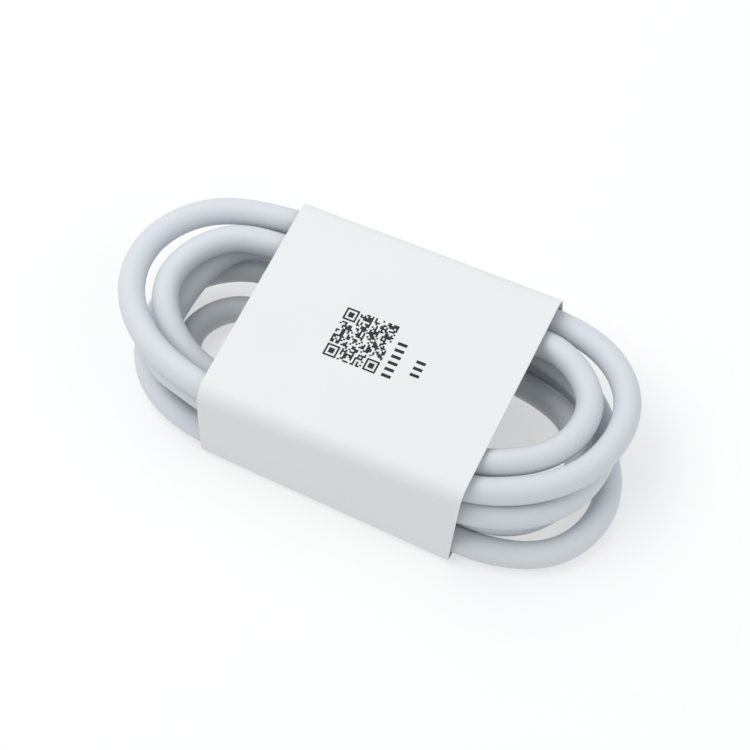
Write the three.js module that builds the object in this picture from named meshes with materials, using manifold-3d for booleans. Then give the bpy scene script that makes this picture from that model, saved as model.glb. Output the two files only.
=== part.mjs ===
// Phone charging cable: one metre of round white cable with a USB-C plug on each end,
// wound into a flat oblong hank and held by a printed paper sleeve that slides off along X.
// Millimetres, +Z up, X along the hank, the sleeve's leaning front wall faces -Y.
import * as THREE from 'three';
import Module from 'manifold-3d';

const wasm = await Module();
wasm.setup();

// ---- paper sleeve -------------------------------------------------------------------
const SLEEVE_LENGTH = 46.5;
const SLEEVE_MID_X = 1.3;
const SLEEVE_HEIGHT = 17.5;
const SLEEVE_BACK_Y = 21.75;
const SLEEVE_FRONT_TOP_Y = -20.25;
const SLEEVE_FRONT_FOOT_Y = -21.99;
const PAPER = 0.35;
const PAPER_BEND = 2.5;
const GLUE_FILM = 0.1;
const FLAP_END_Y = 6;
const FLAP_CUT_DEPTH = 5;
const FLAP_CUT_HALF = 13.5;

// ---- cable and its hank -------------------------------------------------------------
const CABLE_D = 4.5;
const HANK_LENGTH = 88.8;
const HANK_WIDTH = 40.4;
const HANK_MID_Y = 0.8;
const HANK_LOW_Z = 1.2;
const HANK_HIGH_Z = 16.75;
const HOLE_LENGTH = 68;
const HOLE_WIDTH = 21.6;
const HOLE_MID_Y = 1.6;
const HANK_ROUNDING = 2;
const CORD_GAP = 0.3;

// ---- USB-C plug, measured from the cable end of its strain relief --------------------
const RELIEF_LENGTH = 7;
const RELIEF_TIP_R = 2.6;
const RELIEF_ROOT_R = 2.9;
const BOOT_LENGTH = 15;
const BOOT_WIDTH = 11.2;
const BOOT_THICK = 6.2;
const SHELL_WIDTH = 8.25;
const SHELL_THICK = 2.4;
const SHELL_WALL = 0.2;
const SHELL_REACH = 6.65;
const BOOT_END = RELIEF_LENGTH + BOOT_LENGTH;
const PLUG_LENGTH = BOOT_END + SHELL_REACH;
const CONTACT_PITCH = 0.5;
const CONTACTS_TOP = { A1: 1, A4: 4, A5: 5, A6: 6, A7: 7, A9: 9, A12: 12 };
const CONTACTS_UNDER = { B12: 1, B9: 4, B5: 8, B4: 9, B1: 12 };

// ---- where the two plugs lie, side by side and on edge, in the middle of the hank ----
const PLUG_A_TIP = [10.3, 8.9, 11.0];
const PLUG_B_TIP = [-8.7, 2.2, 6.9];

const WHITE_JACKET = [0xe4e7ea, 0.48, 0];
const WHITE_PAPER = [0xf0f0ee, 0.75, 0];
const STEEL = [0xc8cacc, 0.28, 1];
const BLACK_PLASTIC = [0x1b1c1e, 0.5, 0];
const CLEAR_MOULD = [0xdfe2df, 0.4, 0];
const GOLD = [0xd6a94a, 0.3, 1];
const BOARD_GREEN = [0x1f5a37, 0.5, 0];
const GLUE = [0xe9e4cf, 0.35, 0];
const WIRE_COLOURS = { red: 0xb02020, black: 0x202020, green: 0x1f7a3a, white: 0xe6e6e6, blue: 0x2450a0 };

const part = new THREE.Group();
part.name = 'charging_cable';

function add(name, geometry, [colour, roughness, metalness], place) {
  if (place) geometry.applyMatrix4(place);
  const material = new THREE.MeshStandardMaterial({ color: colour, roughness, metalness });
  const mesh = new THREE.Mesh(geometry, material);
  mesh.name = name;
  part.add(mesh);
}

// ---- solids -------------------------------------------------------------------------
function toSolid(geometry) {
  const g = geometry.index ? geometry.toNonIndexed() : geometry;
  const position = g.getAttribute('position').array;
  const keys = new Map();
  const points = [];
  const corners = [];
  for (let i = 0; i < position.length; i += 3) {
    const key = [0, 1, 2].map((k) => Math.round(position[i + k] * 1e5)).join();
    if (!keys.has(key)) {
      keys.set(key, points.length / 3);
      points.push(position[i], position[i + 1], position[i + 2]);
    }
    corners.push(keys.get(key));
  }
  const mesh = new wasm.Mesh({
    numProp: 3,
    vertProperties: new Float32Array(points),
    triVerts: new Uint32Array(corners),
  });
  return new wasm.Manifold(mesh);
}

function toGeometry(solid) {
  const mesh = solid.getMesh();
  const g = new THREE.BufferGeometry();
  g.setAttribute('position', new THREE.BufferAttribute(new Float32Array(mesh.vertProperties), 3));
  g.setIndex(new THREE.BufferAttribute(new Uint32Array(mesh.triVerts), 1));
  const flat = g.toNonIndexed();
  flat.computeVertexNormals();
  return flat;
}

function cut(geometry, ...tools) {
  let solid = toSolid(geometry);
  for (const tool of tools) solid = solid.subtract(toSolid(tool));
  return toGeometry(solid);
}

function box(x0, x1, y0, y1, z0, z1) {
  const g = new THREE.BoxGeometry(x1 - x0, y1 - y0, z1 - z0);
  g.translate((x0 + x1) / 2, (y0 + y1) / 2, (z0 + z1) / 2);
  return g;
}

// A section drawn in (Y, Z) and extruded along X from x0 to x1.
function alongX(section, x0, x1) {
  const g = new THREE.ExtrudeGeometry(section, { depth: x1 - x0, bevelEnabled: false, curveSegments: 6 });
  const turn = new THREE.Matrix4().makeBasis(
    new THREE.Vector3(0, 1, 0), new THREE.Vector3(0, 0, 1), new THREE.Vector3(1, 0, 0));
  g.applyMatrix4(turn);
  g.translate(x0, 0, 0);
  return g;
}

function roundedRect(target, width, height, radius) {
  const w = width / 2;
  const h = height / 2;
  const r = Math.min(radius, w, h);
  const turns = [[w - r, h - r, 0], [-w + r, h - r, 1], [-w + r, -h + r, 2], [w - r, -h + r, 3]];
  for (const [cx, cy, quarter] of turns) {
    target.absarc(cx, cy, r, quarter * Math.PI / 2, (quarter + 1) * Math.PI / 2, false);
  }
  target.closePath();
  return target;
}

function ringSection(width, height, radius, wall) {
  const section = roundedRect(new THREE.Shape(), width, height, radius);
  const innerRadius = Math.max(radius - wall, 0.1);
  const inner = roundedRect(new THREE.Path(), width - 2 * wall, height - 2 * wall, innerRadius);
  section.holes.push(inner);
  return section;
}

function cylinderX(radius, x0, x1, y, z, sides) {
  const g = new THREE.CylinderGeometry(radius, radius, x1 - x0, sides);
  g.rotateZ(-Math.PI / 2);
  g.translate((x0 + x1) / 2, y, z);
  return g;
}

// ---- sleeve: one strip of card folded round the hank, its ends overlapped underneath --
function filleted(corners, radius, steps) {
  const points = [corners[0].clone()];
  for (let i = 1; i < corners.length - 1; i += 1) {
    const here = corners[i];
    const back = corners[i - 1].clone().sub(here).normalize();
    const on = corners[i + 1].clone().sub(here).normalize();
    const half = Math.acos(back.dot(on)) / 2;
    const centre = back.clone().add(on).normalize().multiplyScalar(radius / Math.sin(half)).add(here);
    const reach = radius / Math.tan(half);
    const from = here.clone().addScaledVector(back, reach).sub(centre);
    const to = here.clone().addScaledVector(on, reach).sub(centre);
    const sweep = Math.atan2(from.cross(to), from.dot(to));
    for (let k = 0; k <= steps; k += 1) {
      points.push(from.clone().rotateAround(new THREE.Vector2(), sweep * k / steps).add(centre));
    }
  }
  points.push(corners[corners.length - 1].clone());
  return points;
}

function stripSection(points, thickness) {
  const sides = [[], []];
  points.forEach((point, i) => {
    const before = points[Math.max(i - 1, 0)];
    const after = points[Math.min(i + 1, points.length - 1)];
    const along = after.clone().sub(before).normalize();
    const across = new THREE.Vector2(-along.y, along.x).multiplyScalar(thickness / 2);
    sides[0].push(point.clone().add(across));
    sides[1].unshift(point.clone().sub(across));
  });
  return new THREE.Shape([...sides[0], ...sides[1]]);
}

const half = PAPER / 2;
const innerFlapZ = PAPER + GLUE_FILM + half;
const sleeveCorners = [
  new THREE.Vector2(FLAP_END_Y, half),
  new THREE.Vector2(SLEEVE_FRONT_FOOT_Y + half, half),
  new THREE.Vector2(SLEEVE_FRONT_TOP_Y + half, SLEEVE_HEIGHT - half),
  new THREE.Vector2(SLEEVE_BACK_Y - half, SLEEVE_HEIGHT - half),
  new THREE.Vector2(SLEEVE_BACK_Y - half, innerFlapZ),
  new THREE.Vector2(-FLAP_END_Y, innerFlapZ),
];
const sleeveX0 = SLEEVE_MID_X - SLEEVE_LENGTH / 2;
const sleeveX1 = SLEEVE_MID_X + SLEEVE_LENGTH / 2;
const strip = alongX(stripSection(filleted(sleeveCorners, PAPER_BEND, 6), PAPER), sleeveX0, sleeveX1);

// The two flaps underneath are cut back at both mouths, with slanting corners.
function flapCut(mouthX, outward) {
  const deep = mouthX - outward * FLAP_CUT_DEPTH;
  const past = mouthX + outward;
  const wide = FLAP_CUT_HALF + FLAP_CUT_DEPTH + 1;
  const outline = new THREE.Shape([
    new THREE.Vector2(past, -wide), new THREE.Vector2(past, wide),
    new THREE.Vector2(deep, FLAP_CUT_HALF), new THREE.Vector2(deep, -FLAP_CUT_HALF),
  ]);
  const g = new THREE.ExtrudeGeometry(outline, { depth: 2.5, bevelEnabled: false });
  g.translate(0, 0, -1);
  return g;
}

add('paper_sleeve', cut(strip, flapCut(sleeveX0, -1), flapCut(sleeveX1, 1)), WHITE_PAPER);
add('sleeve_glue_film', box(sleeveX0 + 8, sleeveX1 - 8, 1 - FLAP_END_Y, FLAP_END_Y - 1,
  PAPER, PAPER + GLUE_FILM), GLUE);

// ---- hank: the wound turns as one solid of their outer shape --------------------------
const hankSection = roundedRect(new THREE.Shape(), HANK_LENGTH, HANK_WIDTH, HANK_WIDTH / 2);
const hole = roundedRect(new THREE.Path(), HOLE_LENGTH, HOLE_WIDTH, HOLE_WIDTH / 2);
const holePoints = hole.getPoints(10).map((p) => new THREE.Vector2(p.x, p.y + HOLE_MID_Y - HANK_MID_Y));
hankSection.holes.push(new THREE.Path(holePoints));
const hank = new THREE.ExtrudeGeometry(hankSection, {
  depth: HANK_HIGH_Z - HANK_LOW_Z - 2 * HANK_ROUNDING,
  bevelEnabled: true,
  bevelThickness: HANK_ROUNDING,
  bevelSize: HANK_ROUNDING,
  bevelOffset: -HANK_ROUNDING,
  bevelSegments: 3,
  curveSegments: 12,
});
hank.translate(0, HANK_MID_Y, HANK_LOW_Z + HANK_ROUNDING);
add('cable_hank', hank, WHITE_JACKET);

// ---- leads: the short uncoiled stretches between the hank and the plugs ---------------
function lead(name, points) {
  const route = new THREE.CatmullRomCurve3(points.map((p) => new THREE.Vector3(...p)));
  const section = new THREE.Shape();
  section.absarc(0, 0, CABLE_D / 2, 0, 2 * Math.PI, false);
  const steps = Math.max(2, Math.round(route.getLength() / (2.5 * CABLE_D)));
  const g = new THREE.ExtrudeGeometry(section, { steps, extrudePath: route, curveSegments: 6 });
  add(name, g, WHITE_JACKET);
}

const [aX, aY, aZ] = PLUG_A_TIP;
const [bX, bY, bZ] = PLUG_B_TIP;
lead('lead_a', [[aX + CORD_GAP, aY, aZ], [aX + 9, aY, aZ], [aX + 16.5, aY - 1.2, aZ]]);
lead('lead_b', [[bX - CORD_GAP, bY, bZ], [bX - 12, bY, bZ - 0.6], [bX - 23.5, bY, bZ - 2]]);

// ---- plugs --------------------------------------------------------------------------
function reliefProfile() {
  const rings = 4;
  const points = [new THREE.Vector2(0, 0), new THREE.Vector2(RELIEF_TIP_R, 0)];
  const pitch = (RELIEF_LENGTH - 1.4) / rings;
  for (let i = 0; i < rings; i += 1) {
    const x = 0.7 + i * pitch;
    const r = RELIEF_TIP_R + (RELIEF_ROOT_R - RELIEF_TIP_R) * x / RELIEF_LENGTH;
    points.push(new THREE.Vector2(r, x));
    points.push(new THREE.Vector2(r - 0.45, x + 0.15));
    points.push(new THREE.Vector2(r - 0.45, x + 0.45));
    points.push(new THREE.Vector2(r, x + 0.6));
  }
  points.push(new THREE.Vector2(RELIEF_ROOT_R, RELIEF_LENGTH));
  points.push(new THREE.Vector2(0, RELIEF_LENGTH));
  return points;
}

function buildBoot() {
  const bevel = 0.6;
  const outline = roundedRect(new THREE.Shape(), BOOT_WIDTH, BOOT_THICK, 2.9);
  const g = new THREE.ExtrudeGeometry(outline, {
    depth: BOOT_LENGTH - 2 * bevel,
    bevelEnabled: true,
    bevelThickness: bevel,
    bevelSize: bevel,
    bevelOffset: -bevel,
    bevelSegments: 2,
    curveSegments: 6,
  });
  const turn = new THREE.Matrix4().makeBasis(
    new THREE.Vector3(0, 1, 0), new THREE.Vector3(0, 0, 1), new THREE.Vector3(1, 0, 0));
  g.applyMatrix4(turn);
  g.translate(RELIEF_LENGTH + bevel, 0, 0);
  const cavity = box(9.6, BOOT_END - 2, -4.75, 4.75, -2.25, 2.25);
  const throat = roundedRect(new THREE.Shape(), SHELL_WIDTH + 0.1, SHELL_THICK + 0.1, SHELL_THICK / 2);
  return cut(g, cavity, alongX(throat, BOOT_END - 2.5, BOOT_END + 1));
}

// The steel latch is a flat fork: a bridge behind the contacts and one arm on each side.
function buildLatch() {
  const outline = new THREE.Shape([
    new THREE.Vector2(18.3, -3.3), new THREE.Vector2(27.6, -3.3), new THREE.Vector2(27.6, -3.0),
    new THREE.Vector2(22.2, -3.0), new THREE.Vector2(22.2, 3.0), new THREE.Vector2(27.6, 3.0),
    new THREE.Vector2(27.6, 3.3), new THREE.Vector2(18.3, 3.3),
  ]);
  const g = new THREE.ExtrudeGeometry(outline, { depth: 0.2, bevelEnabled: false });
  g.translate(0, 0, -0.1);
  return g;
}

function buildPlug(prefix, place) {
  const put = (name, geometry, finish) => add(`${prefix}_${name}`, geometry, finish, place);

  const relief = new THREE.LatheGeometry(reliefProfile(), 20);
  relief.rotateZ(-Math.PI / 2);
  put('strain_relief', relief, WHITE_JACKET);
  put('overmould', buildBoot(), WHITE_JACKET);

  put('inner_mould', alongX(ringSection(9.4, 4.4, 0.3, 0.35), 11.2, BOOT_END - 2.1), CLEAR_MOULD);
  put('shield_can', alongX(ringSection(8.5, 3.5, 0.4, 0.2), 11.3, 17.0), STEEL);
  put('crimp_collar', alongX(ringSection(6.6, 3.4, 1.2, 0.35), 9.8, 10.9), STEEL);
  put('circuit_board', box(11.5, 18.0, -3.8, 3.8, -0.3, 0.3), BOARD_GREEN);
  put('marker_chip', box(13.4, 15.4, -1.0, 1.0, 0.32, 0.85), BLACK_PLASTIC);

  const wires = [['red', -2.2, 1], ['blue', 0, 1], ['green', 2.2, 1], ['black', -1.1, -1], ['white', 1.1, -1]];
  for (const [colour, y, side] of wires) {
    put(`wire_${colour}`, cylinderX(0.35, 9.8, 13.0, y, side * 0.68, 10), [WIRE_COLOURS[colour], 0.5, 0]);
  }

  const shell = ringSection(SHELL_WIDTH, SHELL_THICK, SHELL_THICK / 2, SHELL_WALL);
  put('shell', alongX(shell, 17.2, PLUG_LENGTH), STEEL);
  const carrier = roundedRect(new THREE.Shape(), 7.75, 1.9, 0.95);
  carrier.holes.push(roundedRect(new THREE.Path(), 6.9, 0.94, 0.2));
  put('contact_carrier', alongX(carrier, 18.1, PLUG_LENGTH - 0.35), BLACK_PLASTIC);
  put('latch', buildLatch(), STEEL);

  const rows = [[CONTACTS_TOP, 1], [CONTACTS_UNDER, -1]];
  for (const [row, side] of rows) {
    for (const [name, slot] of Object.entries(row)) {
      const y = (slot - 6.5) * CONTACT_PITCH;
      const z = side * 0.39;
      put(`contact_${name}`, box(16.4, 27.9, y - 0.13, y + 0.13, z - 0.06, z + 0.06), GOLD);
    }
  }
}

// Both plugs stand on edge. Plug A points to -X and plug B points to +X.
const placeA = new THREE.Matrix4().makeBasis(
  new THREE.Vector3(-1, 0, 0), new THREE.Vector3(0, 0, 1), new THREE.Vector3(0, 1, 0));
placeA.setPosition(...PLUG_A_TIP);
const placeB = new THREE.Matrix4().makeBasis(
  new THREE.Vector3(1, 0, 0), new THREE.Vector3(0, 0, 1), new THREE.Vector3(0, -1, 0));
placeB.setPosition(...PLUG_B_TIP);
buildPlug('plug_a', placeA);
buildPlug('plug_b', placeB);

export default part;
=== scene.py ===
"""A charging cable wound into a flat hank, with a plug on each end, held by a folded card sleeve.

X runs along the hank, Y towards its back and Z up. Sizes are millimetres unless they say otherwise.
"""
import math
import random

import bmesh
import bpy
import numpy as np
from mathutils import Matrix, Vector


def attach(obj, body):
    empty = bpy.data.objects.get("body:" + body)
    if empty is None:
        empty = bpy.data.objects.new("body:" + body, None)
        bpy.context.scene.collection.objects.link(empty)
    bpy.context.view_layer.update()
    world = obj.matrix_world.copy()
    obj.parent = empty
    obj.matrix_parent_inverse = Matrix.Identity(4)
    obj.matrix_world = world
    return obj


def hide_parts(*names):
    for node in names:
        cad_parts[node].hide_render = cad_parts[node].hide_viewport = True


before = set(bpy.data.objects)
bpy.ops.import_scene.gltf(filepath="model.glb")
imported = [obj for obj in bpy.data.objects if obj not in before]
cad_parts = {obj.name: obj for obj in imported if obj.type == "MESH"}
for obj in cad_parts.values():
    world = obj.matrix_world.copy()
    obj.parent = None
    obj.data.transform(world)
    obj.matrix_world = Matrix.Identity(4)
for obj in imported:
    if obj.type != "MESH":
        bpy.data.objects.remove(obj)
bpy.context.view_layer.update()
scene = bpy.context.scene
MM = 0.001

# ---- camera: the photograph's viewing angle ------------------------------------------------
CAMERA_AT = (0.102962, -0.219298, 0.387685)  # metres
CAMERA_AZIMUTH = 25.0079  # degrees, like the two below
CAMERA_ELEVATION = 57.4714
CAMERA_ROLL = -0.2058
LENS = 131.81
SENSOR = 36
CLIP_NEAR, CLIP_FAR = 0.01, 20  # metres


def make_camera():
    azimuth, elevation, roll = (
        math.radians(a) for a in (CAMERA_AZIMUTH, CAMERA_ELEVATION, CAMERA_ROLL))
    back = Vector((math.sin(azimuth) * math.cos(elevation),
                   -math.cos(azimuth) * math.cos(elevation),
                   math.sin(elevation)))
    level = Vector((math.cos(azimuth), math.sin(azimuth), 0))
    upright = back.cross(level)
    right = math.cos(roll) * level + math.sin(roll) * upright
    up = math.cos(roll) * upright - math.sin(roll) * level
    data = bpy.data.cameras.new("camera")
    data.lens = LENS
    data.sensor_width = SENSOR
    data.sensor_fit = "HORIZONTAL"
    data.clip_start = CLIP_NEAR
    data.clip_end = CLIP_FAR
    data.dof.use_dof = False
    camera = bpy.data.objects.new("camera", data)
    scene.collection.objects.link(camera)
    turn = Matrix((right, up, back)).transposed().to_4x4()
    camera.matrix_world = Matrix.Translation(CAMERA_AT) @ turn
    scene.camera = camera


make_camera()

# ---- the cable's route: centreline points from plug A to plug B ----------------------------
CABLE_D = 4.5
CABLE_ROUNDNESS = 10  # bevel resolution
ROUTE_STEP = 1.0
PLUG_A_TIP = (10.3, 8.9, 11.0)
PLUG_B_TIP = (-8.7, 2.2, 6.9)
ROUTE = (
    (10.3, 8.9, 11), (15.06, 10.21, 11.68), (19.37, 12.47, 12.87), (24.1, 13.71, 13.79),
    (28.95, 12.67, 13.96), (33.11, 9.93, 13.86), (35.89, 5.82, 13.98), (36.25, 0.88, 14.08),
    (34.6, -3.82, 14.11), (31.31, -7.56, 14.28), (27.06, -10.19, 14.34), (22.34, -11.82, 14.13),
    (17.38, -12.38, 13.82), (12.38, -12.24, 13.46), (7.41, -11.9, 12.96), (2.45, -11.67, 12.28),
    (-2.49, -11.61, 11.45), (-7.41, -11.7, 10.54), (-12.34, -11.86, 9.67), (-17.31, -11.93, 9.04),
    (-22.3, -11.63, 8.93), (-27.12, -10.52, 9.63), (-31.43, -8.38, 10.98), (-34.88, -5.05, 12.32),
    (-36.75, -0.53, 13.14), (-36.21, 4.38, 13.51), (-33.65, 8.63, 13.89), (-29.66, 11.56, 14.2),
    (-24.82, 12.79, 14.08), (-19.84, 13.34, 13.92), (-14.87, 13.95, 13.97), (-9.92, 14.65, 14.17),
    (-4.97, 15.39, 14.41), (-0.01, 16.11, 14.51), (4.95, 16.82, 14.37), (9.88, 17.57, 13.99),
    (14.81, 18.33, 13.51), (19.77, 18.91, 13.06), (24.76, 19.03, 12.76), (29.72, 18.41, 12.66),
    (34.41, 16.68, 12.69), (38.35, 13.63, 12.74), (41.05, 9.44, 12.81), (42.05, 4.57, 12.9),
    (41.49, -0.4, 12.96), (39.72, -5.06, 13.05), (36.8, -9.11, 13.27), (33.03, -12.39, 13.49),
    (28.67, -14.83, 13.66), (23.9, -16.31, 13.77), (18.93, -16.9, 13.8), (13.92, -16.87, 13.83),
    (8.92, -16.63, 13.9), (3.91, -16.46, 14.03), (-1.1, -16.51, 14.18), (-6.09, -16.8, 14.32),
    (-11.08, -17.24, 14.44), (-16.08, -17.56, 14.54), (-21.08, -17.31, 14.65),
    (-25.97, -16.28, 14.64), (-30.65, -14.52, 14.32), (-34.91, -11.94, 13.9),
    (-38.64, -8.62, 13.56), (-41.51, -4.54, 13.33), (-43.04, 0.2, 13.27), (-42.96, 5.18, 13.37),
    (-41.08, 9.79, 13.59), (-37.75, 13.48, 13.95), (-33.42, 15.94, 14.26), (-28.62, 17.33, 14.35),
    (-23.68, 18.18, 14.22), (-18.73, 18.74, 13.72), (-13.81, 19.01, 12.82), (-8.93, 19.09, 11.73),
    (-4.02, 19.05, 10.7), (0.91, 18.83, 9.89), (5.86, 18.36, 9.27), (10.8, 17.66, 8.78),
    (15.73, 16.84, 8.41), (20.64, 15.93, 8.16), (25.52, 14.8, 8.06), (30.24, 13.12, 8.05),
    (34.51, 10.53, 8.06), (38, 6.96, 8.1), (40.11, 2.45, 8.24), (40.37, -2.52, 8.36),
    (39.14, -7.36, 8.49), (36.53, -11.6, 8.78), (32.77, -14.86, 9.18), (28.26, -16.98, 9.5),
    (23.37, -18.05, 9.58), (18.37, -18.31, 9.5), (13.37, -18.07, 9.44), (8.38, -17.66, 9.45),
    (3.38, -17.28, 9.51), (-1.62, -17.03, 9.56), (-6.63, -17.01, 9.6), (-11.63, -17.21, 9.64),
    (-16.64, -17.33, 9.79), (-21.6, -16.8, 10.09), (-26.45, -15.54, 10.08),
    (-30.94, -13.63, 9.09), (-34.12, -10.12, 7.66), (-35.38, -5.34, 7.04), (-35.42, -0.35, 7.35),
    (-34.69, 4.53, 8.18), (-32.95, 9.11, 9.15), (-29.76, 12.85, 9.87), (-25.26, 14.96, 9.96),
    (-20.32, 15.51, 9.45), (-15.38, 15.41, 8.63), (-10.47, 15.21, 7.68), (-5.55, 15.15, 6.74),
    (-0.62, 15.25, 5.86), (4.32, 15.5, 5.05), (9.26, 15.85, 4.3), (14.21, 16.18, 3.63),
    (19.19, 16.26, 3.09), (24.16, 15.78, 2.71), (28.97, 14.43, 2.48), (33.34, 12.02, 2.35),
    (37, 8.62, 2.31), (39.95, 4.58, 2.3), (42.26, 0.14, 2.36), (43.25, -4.74, 2.42),
    (42.47, -9.66, 2.38), (40.01, -13.99, 2.3), (36.09, -17.06, 2.33), (31.4, -18.76, 2.43),
    (26.45, -19.51, 2.54), (21.45, -19.44, 2.72), (16.46, -19.07, 2.8), (11.45, -18.83, 2.8),
    (6.45, -18.68, 2.77), (1.44, -18.54, 2.74), (-3.57, -18.4, 2.71), (-8.58, -18.31, 2.7),
    (-13.59, -18.27, 2.69), (-18.6, -18.15, 2.67), (-23.57, -17.63, 2.66), (-28.39, -16.3, 2.66),
    (-32.77, -13.89, 2.63), (-36.25, -10.32, 2.57), (-38.42, -5.83, 2.57), (-39.2, -0.91, 2.85),
    (-38.48, 3.99, 3.42), (-35.78, 8.11, 4.03), (-31.75, 10.99, 4.66), (-27.09, 12.71, 5.06),
    (-22.12, 13.22, 4.84), (-17.19, 12.84, 4.1), (-12.3, 12.12, 3.29), (-7.36, 11.49, 2.79),
    (-2.36, 11.16, 2.67), (2.65, 11.12, 2.78), (7.65, 11.32, 2.96), (12.65, 11.61, 3.12),
    (17.65, 11.71, 3.23), (22.64, 11.26, 3.35), (27.48, 10.04, 3.63), (31.89, 7.76, 4.09),
    (35.23, 4.08, 4.37), (36.99, -0.58, 4.35), (36.99, -5.56, 4.28), (35.18, -10.2, 4.38),
    (31.79, -13.82, 4.7), (27.24, -15.76, 5.18), (22.27, -15.93, 5.56), (17.31, -15.23, 5.59),
    (12.38, -14.38, 5.33), (7.44, -13.63, 4.95), (2.48, -13.06, 4.56), (-2.5, -12.67, 4.13),
    (-7.48, -12.49, 3.61), (-12.45, -12.54, 3.04), (-17.44, -12.67, 2.61), (-22.42, -12.28, 2.45),
    (-27.02, -10.37, 2.44), (-30.56, -6.87, 2.47), (-32.24, -2.22, 2.48), (-30.78, 2.49, 2.5),
    (-27.06, 5.76, 2.52), (-22.17, 6.58, 2.56), (-17.39, 5.5, 3.39), (-13.27, 3.53, 5.44),
    (-8.7, 2.2, 6.9),
)


def natural_spline(points, step):
    """Points about one step apart on a smooth curve through the given ones."""
    p = np.array(points, float)
    t = np.concatenate([[0], np.cumsum(np.linalg.norm(np.diff(p, axis=0), axis=1))])
    n = len(p)
    h = np.diff(t)
    a = np.zeros((n, n))
    b = np.zeros((n, 3))
    a[0, 0] = a[-1, -1] = 1
    for i in range(1, n - 1):
        a[i, i - 1], a[i, i], a[i, i + 1] = h[i - 1], 2 * (h[i - 1] + h[i]), h[i]
        b[i] = 6 * ((p[i + 1] - p[i]) / h[i] - (p[i] - p[i - 1]) / h[i - 1])
    m = np.linalg.solve(a, b)
    s = np.linspace(0, t[-1], int(round(t[-1] / step)) + 1)
    k = np.clip(np.searchsorted(t, s, side="right") - 1, 0, n - 2)
    hk = h[k][:, None]
    u = (s - t[k])[:, None]
    v = hk - u
    return ((m[k] * v ** 3 + m[k + 1] * u ** 3) / (6 * hk)
            + (p[k] / hk - m[k] * hk / 6) * v
            + (p[k + 1] / hk - m[k + 1] * hk / 6) * u)


# ---- materials -----------------------------------------------------------------------------
def new_material(name):
    material = bpy.data.materials.new(name)
    material.use_nodes = True
    tree = material.node_tree
    return material, tree, tree.nodes["Principled BSDF"]


def place_of(tree, stretch=(1, 1, 1)):
    coords = tree.nodes.new("ShaderNodeTexCoord")
    mapping = tree.nodes.new("ShaderNodeMapping")
    mapping.inputs["Scale"].default_value = stretch
    tree.links.new(coords.outputs["Object"], mapping.inputs["Vector"])
    return mapping.outputs["Vector"]


def noise(tree, vector, scale, detail, roughness):
    node = tree.nodes.new("ShaderNodeTexNoise")
    node.inputs["Scale"].default_value = scale
    node.inputs["Detail"].default_value = detail
    node.inputs["Roughness"].default_value = roughness
    tree.links.new(vector, node.inputs["Vector"])
    return node.outputs["Fac"]


def mapped(tree, value, low, high, from_low=0.3, from_high=0.7):
    node = tree.nodes.new("ShaderNodeMapRange")
    node.inputs["From Min"].default_value = from_low
    node.inputs["From Max"].default_value = from_high
    node.inputs["To Min"].default_value = low
    node.inputs["To Max"].default_value = high
    tree.links.new(value, node.inputs["Value"])
    return node.outputs["Result"]


def blend_colours(tree, value, first, second):
    node = tree.nodes.new("ShaderNodeMix")
    node.data_type = "RGBA"
    node.inputs["A"].default_value = (*first, 1)
    node.inputs["B"].default_value = (*second, 1)
    tree.links.new(value, node.inputs["Factor"])
    return node.outputs["Result"]


def bump(tree, height, distance, strength, after=None):
    """A bump of this distance, in metres, on top of an earlier one if there is one."""
    node = tree.nodes.new("ShaderNodeBump")
    node.inputs["Distance"].default_value = distance
    node.inputs["Strength"].default_value = strength
    tree.links.new(height, node.inputs["Height"])
    if after is not None:
        tree.links.new(after, node.inputs["Normal"])
    return node.outputs["Normal"]


def finish_of(name, first, second, rough, patch_scale, grain_scale, grain_depth, metal=0.0,
              specular=0.5, stretch=(1, 1, 1), coat=0.0):
    """A finish whose colour and roughness wander slightly, over a fine grain in the surface."""
    material, tree, shader = new_material(name)
    vector = place_of(tree, stretch)
    patches = noise(tree, vector, patch_scale, 4.0, 0.55)
    grain = noise(tree, vector, grain_scale, 2.0, 0.6)
    tone = blend_colours(tree, mapped(tree, patches, 0, 1), first, second)
    tree.links.new(tone, shader.inputs["Base Color"])
    tree.links.new(mapped(tree, patches, *rough), shader.inputs["Roughness"])
    tree.links.new(bump(tree, grain, grain_depth, 1.0), shader.inputs["Normal"])
    shader.inputs["Metallic"].default_value = metal
    shader.inputs["Specular IOR Level"].default_value = specular
    if coat:
        shader.inputs["Coat Weight"].default_value = coat
        shader.inputs["Coat Roughness"].default_value = 0.2
    return material


CARD_LIGHT = (0.719, 0.725, 0.722)
CARD_DARK = (0.706, 0.713, 0.711)
INK_DARK = (0.016, 0.016, 0.018)
INK_THIN = (0.05, 0.05, 0.053)
JACKET_LIGHT = (0.605, 0.632, 0.664)
JACKET_DARK = (0.588, 0.616, 0.648)
ALONG_FIBRES = (0.35, 1.6, 1.6)  # stretches the noise along X
DRAWN = (0.25, 2, 2)
ROLLED = (0.3, 2, 2)


def card_finish():
    """Smooth coated card: cloudy tone, long faint fibres, a very fine tooth."""
    material, tree, shader = new_material("coated_card")
    vector = place_of(tree)
    fibres_along = place_of(tree, ALONG_FIBRES)
    clouds = noise(tree, vector, 60, 3.0, 0.5)
    fibres = noise(tree, fibres_along, 2600, 3.0, 0.62)
    tooth = noise(tree, vector, 9000, 2.0, 0.5)
    tone = blend_colours(tree, mapped(tree, clouds, 0, 1), CARD_LIGHT, CARD_DARK)
    tree.links.new(tone, shader.inputs["Base Color"])
    tree.links.new(mapped(tree, fibres, 0.52, 0.64), shader.inputs["Roughness"])
    under = bump(tree, fibres, 6e-6, 0.8)
    tree.links.new(bump(tree, tooth, 3e-6, 0.6, under), shader.inputs["Normal"])
    shader.inputs["Specular IOR Level"].default_value = 0.35
    return material


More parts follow.
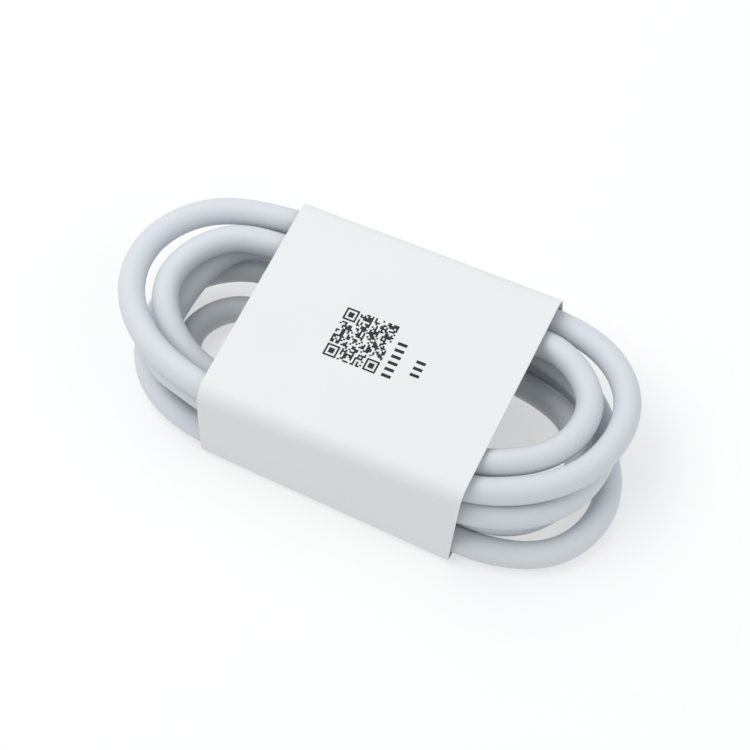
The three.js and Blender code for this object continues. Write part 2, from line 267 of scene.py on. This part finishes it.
def ink_finish():
    """Matt black ink with small thin spots where it did not take."""
    material, tree, shader = new_material("printing_ink")
    vector = place_of(tree)
    density = noise(tree, vector, 5200, 3.0, 0.6)
    tone = blend_colours(tree, mapped(tree, density, 0, 1, 0.55, 0.8), INK_DARK, INK_THIN)
    tree.links.new(tone, shader.inputs["Base Color"])
    tree.links.new(mapped(tree, density, 0.5, 0.72), shader.inputs["Roughness"])
    tree.links.new(bump(tree, density, 3e-6, 0.7), shader.inputs["Normal"])
    shader.inputs["Specular IOR Level"].default_value = 0.3
    return material


# name, two tones, roughness range, patch scale, grain scale, grain depth in metres
finishes = {
    "sleeve_paper": card_finish(),
    "sleeve_ink": ink_finish(),
    "cable_jacket": finish_of(
        "elastomer_jacket", JACKET_LIGHT, JACKET_DARK, (0.5, 0.6), 45, 7000, 4e-6, specular=0.35),
    "plug_boot": finish_of(
        "moulded_boot", JACKET_LIGHT, JACKET_DARK, (0.42, 0.55), 90, 5200, 1.2e-5, specular=0.4),
    "glue": finish_of(
        "hot_melt_glue", (0.75, 0.7, 0.52), (0.68, 0.62, 0.43), (0.25, 0.4), 300, 2500, 2e-5),
    "inner_mould": finish_of(
        "inner_mould", (0.72, 0.74, 0.70), (0.62, 0.64, 0.6), (0.3, 0.45), 260, 3000, 1e-5),
    "inner_steel": finish_of(
        "stamped_steel", (0.55, 0.56, 0.57), (0.46, 0.47, 0.48), (0.28, 0.42), 350, 4200, 6e-6,
        metal=1.0, stretch=ROLLED),
    "plug_shell": finish_of(
        "nickel_shell", (0.74, 0.74, 0.73), (0.66, 0.66, 0.65), (0.16, 0.26), 500, 5000, 2e-6,
        metal=1.0, stretch=DRAWN),
    "circuit_board": finish_of(
        "solder_mask", (0.02, 0.11, 0.05), (0.015, 0.085, 0.038), (0.28, 0.4), 700, 3500, 5e-6,
        coat=0.3),
    "black_plastic": finish_of(
        "black_plastic", (0.018, 0.018, 0.019), (0.03, 0.03, 0.031), (0.4, 0.55), 500, 4200, 6e-6),
    "contact_gold": finish_of(
        "plated_gold", (0.83, 0.57, 0.2), (0.75, 0.5, 0.17), (0.2, 0.32), 900, 6000, 2e-6,
        metal=1.0),
}
WIRE_TONES = {
    "wire_red": ((0.45, 0.02, 0.02), (0.38, 0.016, 0.016)),
    "wire_black": ((0.02, 0.02, 0.02), (0.032, 0.032, 0.032)),
    "wire_green": ((0.02, 0.2, 0.05), (0.015, 0.16, 0.04)),
    "wire_white": ((0.72, 0.72, 0.7), (0.66, 0.66, 0.64)),
    "wire_blue": ((0.03, 0.08, 0.4), (0.024, 0.064, 0.33)),
}
for wire_name, wire_tones in WIRE_TONES.items():
    finishes[wire_name] = finish_of(wire_name, *wire_tones, (0.35, 0.5), 600, 5000, 3e-6)

SLOT_OF_NODE = {"paper_sleeve": "sleeve_paper", "sleeve_glue_film": "glue"}
SLOT_OF_PLUG_PART = {
    "strain_relief": "plug_boot", "overmould": "plug_boot", "inner_mould": "inner_mould",
    "shield_can": "inner_steel", "crimp_collar": "inner_steel", "latch": "inner_steel",
    "shell": "plug_shell", "circuit_board": "circuit_board", "marker_chip": "black_plastic",
    "contact_carrier": "black_plastic",
}


def slot_of_node(name):
    """The material slot of a CAD node. A plug's nodes are named plug_a_part and plug_b_part."""
    part = name.split("_", 2)[-1]
    if name in SLOT_OF_NODE:
        return SLOT_OF_NODE[name]
    if part in SLOT_OF_PLUG_PART:
        return SLOT_OF_PLUG_PART[part]
    if part.startswith("contact_"):
        return "contact_gold"
    return part if part.startswith("wire_") else "cable_jacket"


for node_name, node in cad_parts.items():
    finish = finishes[slot_of_node(node_name)]
    if not node.material_slots:
        node.data.materials.append(finish)
    for node_slot in node.material_slots:
        node_slot.material = finish


# ---- mesh pieces ---------------------------------------------------------------------------
def mesh_piece(name, points, faces, slot, body, smooth=True):
    mesh = bpy.data.meshes.new(name)
    mesh.from_pydata([tuple(float(c) * MM for c in p) for p in points], [], faces)
    mesh.validate()
    work = bmesh.new()
    work.from_mesh(mesh)
    bmesh.ops.recalc_face_normals(work, faces=work.faces)
    work.to_mesh(mesh)
    work.free()
    mesh.polygons.foreach_set("use_smooth", [smooth] * len(mesh.polygons))
    mesh.materials.append(finishes[slot])
    piece = bpy.data.objects.new(name, mesh)
    scene.collection.objects.link(piece)
    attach(piece, body)
    return piece


def crease(piece, degrees):
    """Marks the edges sharper than the angle, so that smooth shading stops there."""
    work = bmesh.new()
    work.from_mesh(piece.data)
    for edge in work.edges:
        if len(edge.link_faces) == 2 and edge.calc_face_angle(0) > math.radians(degrees):
            edge.smooth = False
    work.to_mesh(piece.data)
    work.free()


# ---- cable ---------------------------------------------------------------------------------
def build_cable():
    route = natural_spline(ROUTE, ROUTE_STEP)
    data = bpy.data.curves.new("cable", "CURVE")
    data.dimensions = "3D"
    data.bevel_depth = CABLE_D / 2 * MM
    data.bevel_resolution = CABLE_ROUNDNESS
    data.fill_mode = "FULL"
    data.use_fill_caps = True
    spline = data.splines.new("POLY")
    spline.points.add(len(route) - 1)
    for spline_point, p in zip(spline.points, route):
        spline_point.co = (*(p * MM), 1)
    spline.use_smooth = True
    data.materials.append(finishes["cable_jacket"])
    piece = bpy.data.objects.new("cable", data)
    scene.collection.objects.link(piece)
    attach(piece, "cable")
    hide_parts("cable_hank", "lead_a", "lead_b")
    return piece


cable = build_cable()

# ---- sleeve: one card folded round the hank, with its two flaps glued underneath -----------
SLEEVE_X0 = -21.95
SLEEVE_X1 = 24.55
SLEEVE_TOP = 17.5
SLEEVE_BACK_Y = 21.5
SLEEVE_FRONT_TOP_Y = -20.25
FRONT_FOOT_LEFT_Y = -20.95
FRONT_FOOT_RIGHT_Y = -23.25
BACK_LEAN = 0.1
PAPER = 0.35
GLUE_FILM = 0.1
FRONT_BEND = 3.0
BACK_BEND = 2.2
FOOT_BEND = 1.6
FLAP_END_Y = 6.0
FLAP_TOP = 1.0  # everything below this height is flap
FLAP_CUT_DEPTH = 5.0
FLAP_CUT_HALF = 13.5
FLAP_CUT_EASE = 6.0
TOP_SAG = 0.12
SAG_AT_MOUTH = 0.35  # share of the sag that is left there
BACK_BULGE = 0.05
FRONT_BULGE = 0.25
FRONT_BULGE_AT_MOUTH = 0.5  # share of the bulge that is left there
BACK_WALL_BULGE = 0.35
FRONT_WALL_Y = -19
BACK_WALL_Y = 20.5
TOP_FACE_Z = SLEEVE_TOP - 0.01
# How far each cut edge stands in from square: all round, more at the front, more at its foot
LEFT_MOUTH_INSET = (0.1, 0.4, 0.45)
RIGHT_MOUTH_INSET = (-0.1, -0.22, 0.85)
BEND_STEPS = 8
PANEL_STEPS = (12, 8, 22, 9, 14)  # inner flap, back wall, top, front wall, outer flap
ALONG_STEPS = 48
SLEEVE_CREASE = 40


def middle_of(share):
    """1 halfway along the sleeve, 0 at either mouth."""
    return 1 - (2 * share - 1) ** 2


def across_top(y):
    """0 at the top face's front fold, 1 at its back fold."""
    return (y - SLEEVE_FRONT_TOP_Y) / (SLEEVE_BACK_Y - SLEEVE_FRONT_TOP_Y)


def top_sag(y, middle):
    """How far the top face sags below flat."""
    hollow = np.sin(np.pi * np.clip(across_top(y), 0, 1)) ** 2
    return TOP_SAG * hollow * (SAG_AT_MOUTH + (1 - SAG_AT_MOUTH) * middle)


def bend_arc(before, corner, after, radius):
    """Points on the round bend that replaces a corner."""
    back, on = before - corner, after - corner
    back, on = back / np.linalg.norm(back), on / np.linalg.norm(on)
    half = math.acos(float(back @ on)) / 2
    centre = corner + (back + on) / np.linalg.norm(back + on) * radius / math.sin(half)
    start, end = (corner + side * radius / math.tan(half) for side in (back, on))
    first = math.atan2(*(start - centre)[::-1])
    sweep = math.atan2(*(end - centre)[::-1]) - first
    sweep = (sweep + math.pi) % (2 * math.pi) - math.pi
    angles = [first + sweep * k / BEND_STEPS for k in range(BEND_STEPS + 1)]
    return start, [centre + radius * np.array((math.cos(a), math.sin(a))) for a in angles]


def sleeve_section(share):
    """The card's outer line here, as (y, z) from the inner flap round to the outer flap."""
    foot_y = FRONT_FOOT_LEFT_Y + (FRONT_FOOT_RIGHT_Y - FRONT_FOOT_LEFT_Y) * share
    middle = middle_of(share)
    back_y = SLEEVE_BACK_Y + BACK_BULGE * middle
    inner_z = PAPER + GLUE_FILM
    corners = [np.array(corner) for corner in (
        (-FLAP_END_Y, inner_z), (back_y - BACK_LEAN, inner_z), (back_y, SLEEVE_TOP),
        (SLEEVE_FRONT_TOP_Y, SLEEVE_TOP), (foot_y, 0.0), (FLAP_END_Y, 0.0))]
    line = [corners[0]]
    for i, radius in enumerate((FOOT_BEND, BACK_BEND, FRONT_BEND, FOOT_BEND)):
        start, arc = bend_arc(*corners[i:i + 3], radius)
        flat = np.linspace(0, 1, PANEL_STEPS[i] + 1)[1:-1, None]
        line.extend(line[-1] + (start - line[-1]) * flat)
        line.extend(arc)
    flat = np.linspace(0, 1, PANEL_STEPS[-1] + 1)[1:, None]
    line.extend(line[-1] + (corners[-1] - line[-1]) * flat)
    line = np.array(line)
    return line + bulge_of(line, middle)


def bulge_of(line, middle):
    """How far the panels stand out of flat between their folds."""
    out = np.zeros_like(line)
    y, z = line[:, 0], line[:, 1]
    out[:, 1] -= np.where(z > TOP_FACE_Z, top_sag(y, middle), 0)
    belly = np.sin(np.pi * np.clip(z / SLEEVE_TOP, 0, 1)) ** 2
    fade = FRONT_BULGE_AT_MOUTH + (1 - FRONT_BULGE_AT_MOUTH) * middle
    out[:, 0] -= np.where(y < FRONT_WALL_Y, FRONT_BULGE * belly * fade, 0)
    out[:, 0] += np.where(y > BACK_WALL_Y, BACK_WALL_BULGE * belly, 0)
    return out


def flap_cut(y):
    """How far the flaps underneath are cut back from the mouth at this y."""
    return FLAP_CUT_DEPTH * float(
        np.clip((FLAP_CUT_HALF + FLAP_CUT_EASE - abs(y)) / FLAP_CUT_EASE, 0, 1))


def mouth_inset(y, z):
    """How far the left and the right cut edge stand in from square here."""
    front = float(np.clip(1 - across_top(y), 0, 1))
    foot = front * float(np.clip(1 - z / SLEEVE_TOP, 0, 1))
    return [a + b * front + c * foot for a, b, c in (LEFT_MOUTH_INSET, RIGHT_MOUTH_INSET)]


def card_grid():
    """The card's outer and inner skin, as rows of points from the left mouth to the right."""
    outer, inner = [], []
    for i in range(ALONG_STEPS + 1):
        share = i / ALONG_STEPS
        x = SLEEVE_X0 + (SLEEVE_X1 - SLEEVE_X0) * share
        line = sleeve_section(share)
        tangent = np.gradient(line, axis=0)
        tangent /= np.linalg.norm(tangent, axis=1)[:, None]
        inward = np.stack([-tangent[:, 1], tangent[:, 0]], 1)
        row_out, row_in = [], []
        for (y, z), (ny, nz) in zip(line, inward):
            cut = flap_cut(y) if z < FLAP_TOP else 0.0
            left, right = mouth_inset(y, z)
            px = x + cut * (1 - 2 * share) + left * (1 - share) - right * share
            row_out.append((px, y, z))
            row_in.append((px, y + ny * PAPER, z + nz * PAPER))
        outer.append(row_out)
        inner.append(row_in)
    return outer, inner


def build_sleeve():
    outer, inner = card_grid()
    rows, cols = len(outer), len(outer[0])
    points = [p for row in outer + inner for p in row]
    shift = rows * cols
    faces = []
    for i in range(rows - 1):
        for j in range(cols - 1):
            a, b = i * cols + j, (i + 1) * cols + j
            faces.append((a, b, b + 1, a + 1))
            faces.append((shift + a, shift + a + 1, shift + b + 1, shift + b))
    last = (rows - 1) * cols
    for j in range(cols - 1):
        faces.append((j, j + 1, shift + j + 1, shift + j))
        faces.append((last + j, shift + last + j, shift + last + j + 1, last + j + 1))
    for i in range(rows - 1):
        a, b = i * cols, (i + 1) * cols
        faces.append((a, shift + a, shift + b, b))
        a, b = a + cols - 1, b + cols - 1
        faces.append((a, b, shift + b, shift + a))
    piece = mesh_piece("card_sleeve", points, faces, "sleeve_paper", "sleeve")
    crease(piece, SLEEVE_CREASE)
    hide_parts("paper_sleeve")


build_sleeve()

# ---- print on the sleeve: a plain matrix mark that encodes nothing, and two rows of bars ---
MARK_SEED = 7
MARK_MODULES = 29
MARK_CORNER = 7  # modules across a corner square
MARK_ORIGIN = (-6.33, -5.15)
MARK_SIZE = (9.25, 9.95)
MARK_ROW_FILL = 0.97
BAR_ROWS = ((3.95, 5.6, -5.0, 6), (8.1, 9.7, -3.05, 3))  # x from, x to, first y, how many
BAR_PITCH = 1.3
BAR_WIDTH = 0.585
INK_PROUD = 0.012
INK_DEEP = 0.03


def top_height(x, y):
    middle = middle_of((x - SLEEVE_X0) / (SLEEVE_X1 - SLEEVE_X0))
    return SLEEVE_TOP - top_sag(y, middle)


def ink_bar(points, faces, x0, x1, y0, y1):
    """Adds a closed patch of ink that follows the card's top face."""
    b = len(points)
    for dz in (-INK_DEEP, INK_PROUD):
        for x, y in ((x0, y0), (x1, y0), (x1, y1), (x0, y1)):
            points.append((x, y, top_height(x, y) + dz))
    faces.extend([(b, b + 3, b + 2, b + 1), (b + 4, b + 5, b + 6, b + 7)])
    for k in range(4):
        n = (k + 1) % 4
        faces.append((b + k, b + n, b + 4 + n, b + 4 + k))


def mark_cells():
    """Random cells, with nested squares in three corners and a clear margin round them."""
    draw = random.Random(MARK_SEED)
    n = MARK_MODULES
    cells = [[draw.random() < 0.5 for _ in range(n)] for _ in range(n)]
    centre = MARK_CORNER // 2
    around = range(-1, MARK_CORNER + 1)
    for cx, cy in ((0, 0), (0, n - MARK_CORNER), (n - MARK_CORNER, 0)):
        for i in around:
            for j in around:
                if 0 <= cx + i < n and 0 <= cy + j < n:
                    ring = max(abs(i - centre), abs(j - centre))
                    cells[cx + i][cy + j] = ring == centre or ring <= 1
    return cells


def build_print():
    points, faces = [], []
    cells = mark_cells()
    n = MARK_MODULES
    px, py = MARK_SIZE[0] / n, MARK_SIZE[1] / n
    for j in range(n):
        y = MARK_ORIGIN[1] + j * py
        i = 0
        while i < n:
            run = i
            while run < n and cells[run][j]:
                run += 1
            if run > i:
                x0, x1 = MARK_ORIGIN[0] + i * px, MARK_ORIGIN[0] + run * px
                ink_bar(points, faces, x0, x1, y, y + py * MARK_ROW_FILL)
            i = run + 1
    for x0, x1, y0, count in BAR_ROWS:
        for k in range(count):
            y = y0 + k * BAR_PITCH
            ink_bar(points, faces, x0, x1, y, y + BAR_WIDTH)
    mesh_piece("sleeve_print", points, faces, "sleeve_ink", "sleeve", smooth=False)


build_print()

# ---- plugs: moulded boots, ribbed strain reliefs and drawn shells over the CAD cores -------
# Each plug's own frame: its cable end, and the directions along, across and through it
PLUG_FRAMES = {
    "a": (PLUG_A_TIP, (-1, 0, 0), (0, 0, 1), (0, 1, 0)),
    "b": (PLUG_B_TIP, (1, 0, 0), (0, 0, 1), (0, -1, 0)),
}
ROUND_SIDES = 56
RELIEF_LENGTH = 7.0
RELIEF_TIP = ((0.0, 2.36), (0.06, 2.5), (0.2, 2.6))  # distance along, radius
RELIEF_R = 2.6
RELIEF_SPREAD = 0.3
RELIEF_ROOT = ((RELIEF_LENGTH - 0.5, 2.88), (RELIEF_LENGTH + 0.5, 2.9))
GROOVES = 4
GROOVE_START = 0.7
GROOVE = ((-0.1, 0), (0, 0.03), (0.06, 0.12), (0.14, 0.42), (0.22, 0.47), (0.42, 0.47),
          (0.5, 0.42), (0.58, 0.12), (0.64, 0.03), (0.74, 0))  # distance along, depth
RELIEF_CREASE = 55
BOOT_LENGTH = 15.0
BOOT_WIDTH = 11.2
BOOT_THICK = 6.2
BOOT_CORNER = 2.9
BOOT_EDGE = 0.9
EDGE_STEPS = 7
GRIP_DEPTH = 0.18
GRIP_MIDDLE = 14.5
GRIP_HALF = 3.2
GRIP_SPAN = (8.4, 20.4)
GRIP_STEPS = 15
BOOT_CREASE = 50
SHELL_WIDTH = 8.25
SHELL_THICK = 2.4
SHELL_WALL = 0.2
SHELL_REACH = 6.65
SHELL_START = 17.2
SHELL_WAIST = 21.0
# The rolled mouth, from the outer wall round to the inner one: distance past the end, inset
SHELL_MOUTH = ((-0.5, 0), (-0.25, 0), (-0.1, 0.02), (-0.02, 0.09), (0, 0.13), (-0.02, 0.17),
               (-0.12, SHELL_WALL), (-0.5, SHELL_WALL))
CENTRES_APART = 0.001  # keeps the two round ends of the shell from meeting in one point
SHELL_CREASE = 40


def placed(letter, points):
    """Points from a plug's own frame in the object's frame."""
    tip, along, wide, thick = (np.array(v, float) for v in PLUG_FRAMES[letter])
    p = np.array(points, float)
    return tip + p[:, :1] * along + p[:, 1:2] * wide + p[:, 2:] * thick


def slot_ring(x, width, thickness, radius):
    """Points round a rectangle with round corners, across the plug at x."""
    quarter = ROUND_SIDES // 4
    ring = []
    for k, (sx, sy) in enumerate(((1, 1), (-1, 1), (-1, -1), (1, -1))):
        cx, cy = sx * (width / 2 - radius), sy * (thickness / 2 - radius)
        for q in range(quarter):
            a = math.pi / 2 * (k + q / (quarter - 1))
            ring.append((x, cx + radius * math.cos(a), cy + radius * math.sin(a)))
    return ring


def lofted(rings, closed_ends=True):
    """Skin over rings of equal length. Without closed ends the last ring joins the first."""
    points = [p for ring in rings for p in ring]
    sides = len(rings[0])
    last = (len(rings) - 1) * sides
    starts = [(i * sides, (i + 1) * sides) for i in range(len(rings) - 1)]
    if not closed_ends:
        starts.append((last, 0))
    faces = [(a + k, a + (k + 1) % sides, b + (k + 1) % sides, b + k)
             for a, b in starts for k in range(sides)]
    if closed_ends:
        faces.append(tuple(range(sides))[::-1])
        faces.append(tuple(last + k for k in range(sides)))
    return points, faces


def plug_piece(letter, kind, rings, slot, degrees, node, closed_ends=True):
    """A lofted piece of one plug, in place of one of its CAD nodes."""
    points, faces = lofted(rings, closed_ends)
    piece = mesh_piece(f"plug_{letter}_{kind}", placed(letter, points), faces, slot, "cable")
    crease(piece, degrees)
    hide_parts(f"plug_{letter}_{node}")
    return piece


def build_boot(letter):
    start, end = RELIEF_LENGTH, RELIEF_LENGTH + BOOT_LENGTH
    rounding = [(BOOT_EDGE * (1 - math.cos(a)), BOOT_EDGE * (1 - math.sin(a)))
                for a in np.linspace(0, math.pi / 2, EDGE_STEPS)]
    stations = [(start + run, inset) for run, inset in rounding]
    stations += [(x, GRIP_DEPTH * math.exp(-((x - GRIP_MIDDLE) / GRIP_HALF) ** 4))
                 for x in np.linspace(*GRIP_SPAN, GRIP_STEPS)]
    stations += [(end - run, inset) for run, inset in reversed(rounding)]
    rings = [slot_ring(x, BOOT_WIDTH - 2 * inset, BOOT_THICK - 2 * inset, BOOT_CORNER - inset)
             for x, inset in stations]
    return plug_piece(letter, "boot", rings, "plug_boot", BOOT_CREASE, "overmould")


def build_relief(letter):
    profile = list(RELIEF_TIP)
    pitch = (RELIEF_LENGTH - 2 * GROOVE_START) / GROOVES
    for i in range(GROOVES):
        x = GROOVE_START + i * pitch
        r = RELIEF_R + RELIEF_SPREAD * x / RELIEF_LENGTH
        profile += [(x + along, r - depth) for along, depth in GROOVE]
    profile += RELIEF_ROOT
    angles = np.linspace(0, 2 * math.pi, ROUND_SIDES + 1)[:-1]
    rings = [[(x, r * math.cos(a), r * math.sin(a)) for a in angles] for x, r in profile]
    return plug_piece(letter, "relief", rings, "plug_boot", RELIEF_CREASE, "strain_relief")


def build_shell(letter):
    end = RELIEF_LENGTH + BOOT_LENGTH + SHELL_REACH
    stations = [(SHELL_START, 0), (SHELL_WAIST, 0)]
    stations += [(end + past, inset) for past, inset in SHELL_MOUTH]
    stations += [(SHELL_WAIST, SHELL_WALL), (SHELL_START, SHELL_WALL)]
    rings = [slot_ring(x, SHELL_WIDTH - 2 * inset, SHELL_THICK - 2 * inset,
                       SHELL_THICK / 2 - inset - CENTRES_APART) for x, inset in stations]
    return plug_piece(letter, "drawn_shell", rings, "plug_shell", SHELL_CREASE, "shell",
                      closed_ends=False)


plug_pieces = {letter: [build_boot(letter), build_relief(letter), build_shell(letter)]
               for letter in "ab"}

# ---- floor and light: metres and watts -----------------------------------------------------
FLOOR_SIZE = 3.0
FLOOR_CELLS = 8
FLOOR_TONE = (0.43, 0.43, 0.43, 1)
FLOOR_GLOW = 0.5
WARM = (1.0, 0.99, 0.975)
WHITE = (1, 1, 1)
LIGHTS = (  # name, place, size, power, tone
    ("key", (-0.42, -0.15, 0.85), 0.8, 3.6, WARM),
    ("back", (-0.45, 0.35, 0.62), 0.6, 1.55, WARM),
    ("fill", (0.65, 0.0, 0.5), 0.8, 1.1, WHITE),
)
STUDIO_TONE = (0.94, 0.98, 1.0, 1)
STUDIO_STRENGTH = 0.68


def make_floor():
    mesh = bpy.data.meshes.new("floor")
    work = bmesh.new()
    bmesh.ops.create_grid(work, x_segments=FLOOR_CELLS, y_segments=FLOOR_CELLS, size=FLOOR_SIZE)
    work.to_mesh(mesh)
    work.free()
    floor = bpy.data.objects.new("floor", mesh)
    scene.collection.objects.link(floor)
    material, _, shader = new_material("pale_floor")
    shader.inputs["Base Color"].default_value = FLOOR_TONE
    shader.inputs["Roughness"].default_value = 0.95
    shader.inputs["Specular IOR Level"].default_value = 0.0
    shader.inputs["Emission Color"].default_value = (1, 1, 1, 1)
    shader.inputs["Emission Strength"].default_value = FLOOR_GLOW
    mesh.materials.append(material)


def make_light(name, at, size, power, tone):
    """A round soft light that faces the object."""
    data = bpy.data.lights.new(name, "AREA")
    data.shape = "DISK"
    data.size = size
    data.energy = power
    data.color = tone
    light = bpy.data.objects.new(name, data)
    scene.collection.objects.link(light)
    turn = (-Vector(at)).to_track_quat("-Z", "Y").to_matrix().to_4x4()
    light.matrix_world = Matrix.Translation(at) @ turn


def make_studio():
    world = bpy.data.worlds.new("studio")
    scene.world = world
    world.use_nodes = True
    background = world.node_tree.nodes["Background"]
    background.inputs["Color"].default_value = STUDIO_TONE
    background.inputs["Strength"].default_value = STUDIO_STRENGTH
    scene.view_settings.view_transform = "Standard"


make_floor()
for light_facts in LIGHTS:
    make_light(*light_facts)
make_studio()
